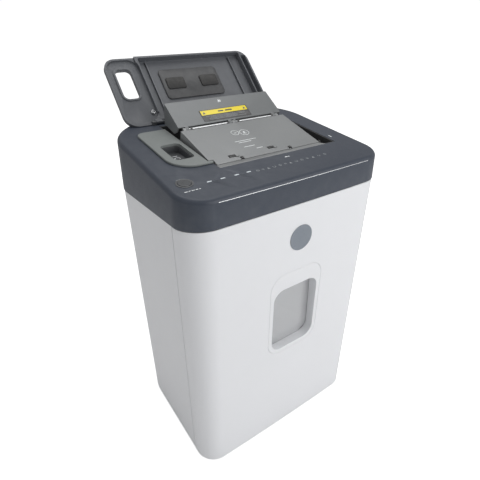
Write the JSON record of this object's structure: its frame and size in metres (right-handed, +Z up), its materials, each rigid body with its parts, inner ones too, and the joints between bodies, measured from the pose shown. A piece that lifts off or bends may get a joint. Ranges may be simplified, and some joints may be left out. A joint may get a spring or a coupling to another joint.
{
  "type": "paper shredder",
  "caption": "Auto-feed office paper shredder with a pull-out bin, windowed front, wedge-shaped head, folding feed flap and rear-hinged lid.",
  "frame": {"origin": "on the floor under the middle of the cabinet", "axes": "+X to the viewer's right, +Y to the back, +Z up; the bin pulls out along -Y"},
  "size_m": [0.3996, 0.3979, 0.717],
  "materials": {
    "white_shell": "satin white moulding",
    "bin_plastic": "pale grey moulding",
    "clear_window": "clear polished",
    "badge_grey": "satin",
    "base_black": "fine texture",
    "rubber": "matt",
    "dark_head": "fine spark texture",
    "dark_lid": "fine spark texture",
    "chamber_black": "fine texture",
    "silver_paint": "satin silver",
    "grip_grey": "satin",
    "light_pipe": "clear diffused",
    "circuit_board": "solder mask",
    "label_yellow": "printed vinyl",
    "steel": "ground",
    "cutter_steel": "hardened, oiled",
    "gear_steel": "sintered",
    "gear_nylon": "natural nylon",
    "bronze": "sintered bronze"
  },
  "bodies": {
    "cabinet": {"cabinet_shell": "white_shell", "base_plate": "base_black", "bin_rails": "base_black", "rubber_feet": "rubber", "head_cover": "dark_head", "head_pan": "base_black", "case_screws": "steel", "feed_chamber": "chamber_black", "flap_pivot_rod": "steel", "front_sill": "silver_paint", "grip_plate": "grip_grey", "finger_recess": "dark_head", "button_bezel": "dark_head", "status_lights": "light_pipe", "control_board": "circuit_board", "power_inlet": "base_black", "inlet_pins": "bronze", "rocker_frame": "base_black", "left_frame_plate": "steel", "right_frame_plate": "steel", "frame_rods": "steel", "stripper_combs": "cutter_steel", "shaft_bushes": "bronze", "idler_pin": "steel", "motor": "steel", "bin_switch": "base_black", "hinge_brackets": "dark_head", "lid_hinge_pins": "steel"},
    "bin": {"bin_front_panel": "white_shell", "bin_tub": "bin_plastic", "window_bezel": "white_shell", "window_pane": "clear_window", "badge_disc": "badge_grey"},
    "power_key": {"power_button": "dark_head"},
    "rocker": {"rocker_switch": "base_black"},
    "rear_cutter": {"rear_cutter_shaft": "cutter_steel", "rear_cutter_gear": "gear_steel", "drive_gear": "gear_steel"},
    "front_cutter": {"front_cutter_shaft": "cutter_steel", "front_cutter_gear": "gear_steel", "feed_driver_gear": "gear_steel"},
    "feed_drive": {"feed_shaft": "steel", "feed_rollers": "rubber", "feed_gear": "gear_nylon"},
    "idler": {"idler_gear": "gear_nylon"},
    "motor_drive": {"motor_shaft": "steel", "pinion_gear": "gear_nylon"},
    "lid": {"lid_shell": "dark_lid", "pressure_plate": "dark_lid", "pressure_pads": "rubber"},
    "lower_flap_body": {"lower_flap": "silver_paint", "flap_hinge_pins": "steel"},
    "upper_flap_body": {"upper_flap": "silver_paint", "flap_label": "label_yellow"}
  },
  "joints": [
    {"name": "bin_slide", "type": "slide", "parent": "cabinet", "child": "bin", "axis": [0, -1, 0], "range_m": [0, 0.27]},
    {"name": "lid_hinge", "type": "hinge", "parent": "cabinet", "child": "lid", "pos_m": [0, 0.1265, 0.60965], "axis": [1, 0, 0], "range_deg": [0, 140.8]},
    {"name": "lower_flap_pivot", "type": "hinge", "parent": "cabinet", "child": "lower_flap_body", "pos_m": [0, -0.068, 0.579], "axis": [1, 0, 0], "range_deg": [-11.81, 0]},
    {"name": "upper_flap_pivot", "type": "hinge", "parent": "lower_flap_body", "child": "upper_flap_body", "pos_m": [0, 0.03756, 0.61203], "axis": [1, 0, 0], "range_deg": [-17.41, 0]},
    {"name": "power_press", "type": "slide", "parent": "cabinet", "child": "power_key", "axis": [0, 0.1225, -0.9925], "range_m": [0, 0.0012], "stiffness_N_per_m": 1200},
    {"name": "rocker_tilt", "type": "hinge", "parent": "cabinet", "child": "rocker", "pos_m": [0.008, 0.161, 0.556], "axis": [1, 0, 0], "range_deg": [0, 12]},
    {"name": "rear_cutter_spin", "type": "hinge", "parent": "cabinet", "child": "rear_cutter", "pos_m": [0, 0.017, 0.504], "axis": [1, 0, 0], "continuous": true},
    {"name": "front_cutter_spin", "type": "hinge", "parent": "cabinet", "child": "front_cutter", "pos_m": [0, -0.017, 0.504], "axis": [1, 0, 0], "continuous": true},
    {"name": "feed_spin", "type": "hinge", "parent": "cabinet", "child": "feed_drive", "pos_m": [0, 0, 0.54076], "axis": [1, 0, 0], "continuous": true},
    {"name": "idler_spin", "type": "hinge", "parent": "cabinet", "child": "idler", "pos_m": [-0.12, 0.0616, 0.51], "axis": [1, 0, 0], "continuous": true},
    {"name": "motor_spin", "type": "hinge", "parent": "cabinet", "child": "motor_drive", "pos_m": [-0.12, 0.0886, 0.51], "axis": [1, 0, 0], "continuous": true}
  ],
  "couplings": [
    {"joint": "lower_flap_pivot", "follows": "lid_hinge", "ratio": -0.083807},
    {"joint": "upper_flap_pivot", "follows": "lid_hinge", "ratio": -0.12358},
    {"joint": "front_cutter_spin", "follows": "rear_cutter_spin", "ratio": -1},
    {"joint": "feed_spin", "follows": "rear_cutter_spin", "ratio": 3.5},
    {"joint": "idler_spin", "follows": "rear_cutter_spin", "ratio": -1.5},
    {"joint": "motor_spin", "follows": "rear_cutter_spin", "ratio": 3}
  ]
}
